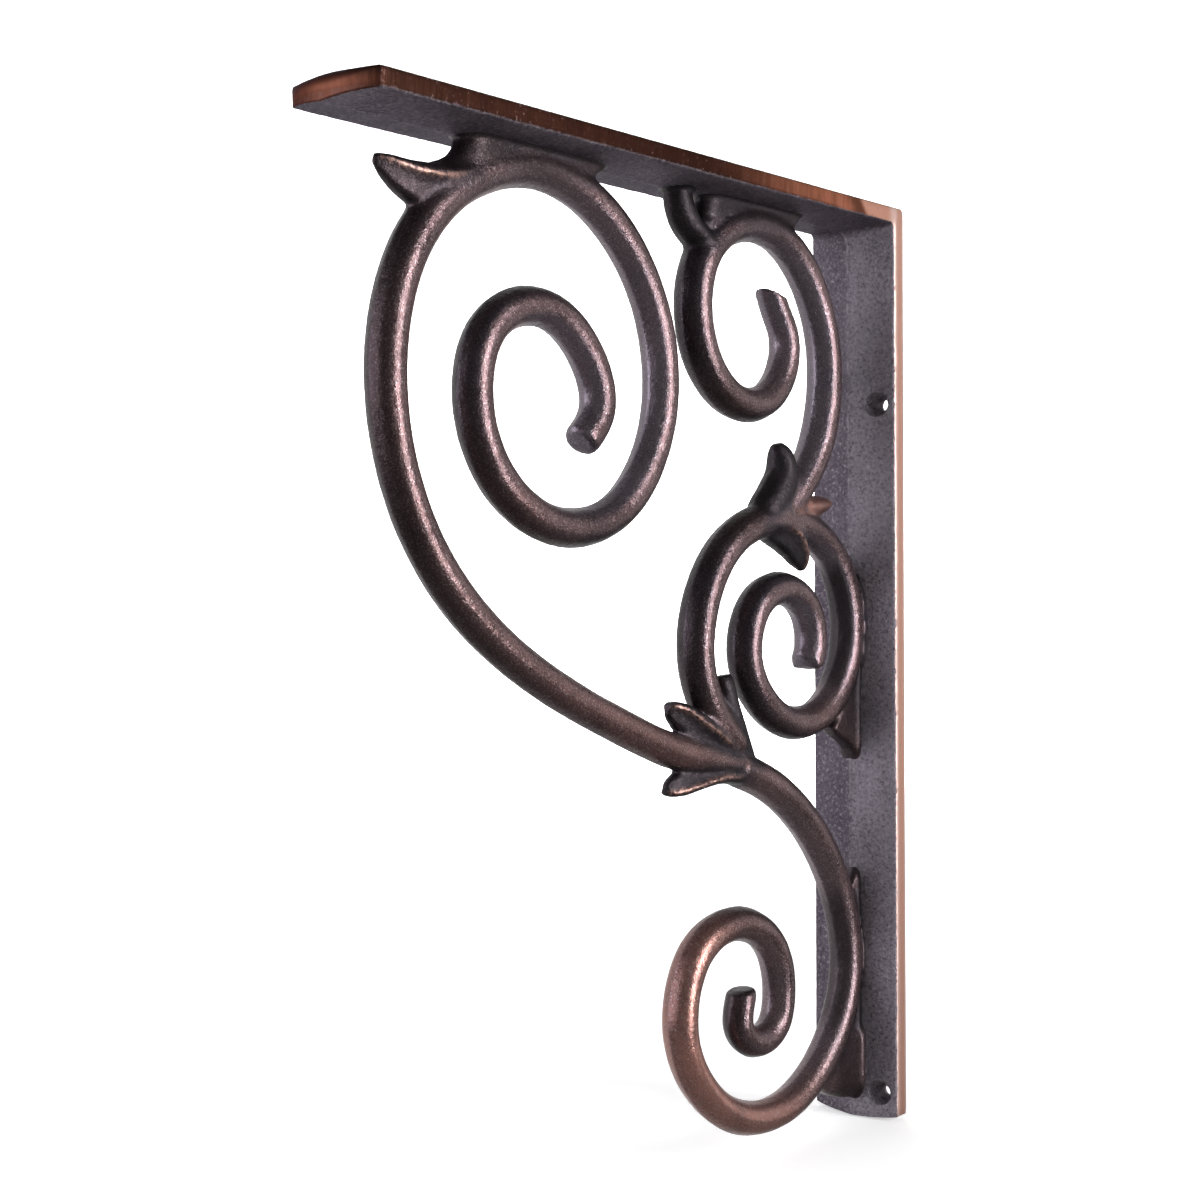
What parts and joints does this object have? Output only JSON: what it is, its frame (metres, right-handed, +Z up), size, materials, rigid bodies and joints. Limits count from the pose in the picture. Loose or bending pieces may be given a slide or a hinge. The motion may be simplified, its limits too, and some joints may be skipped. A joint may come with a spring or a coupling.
{
  "type": "bar bracket",
  "caption": "Cast-iron bar bracket with a wall plate and a top plate at right angles, joined by scrollwork with leaves where the bars part.",
  "frame": {"origin": "middle of the flat back face that lies against the wall", "axes": "+Y into the wall, the bracket reaching out towards -Y; +Z up, the flat top facing +Z; X across the width, alike on both sides of X = 0"},
  "size_m": [0.0382, 0.284, 0.3576],
  "materials": {
    "bronzed_iron": "dark brown-purple bronzed cast iron, sand-rough between, rubbed through to copper along the crests and the ground side faces"
  },
  "bodies": {
    "root": {"bracket": "bronzed_iron"}
  },
  "joints": []
}
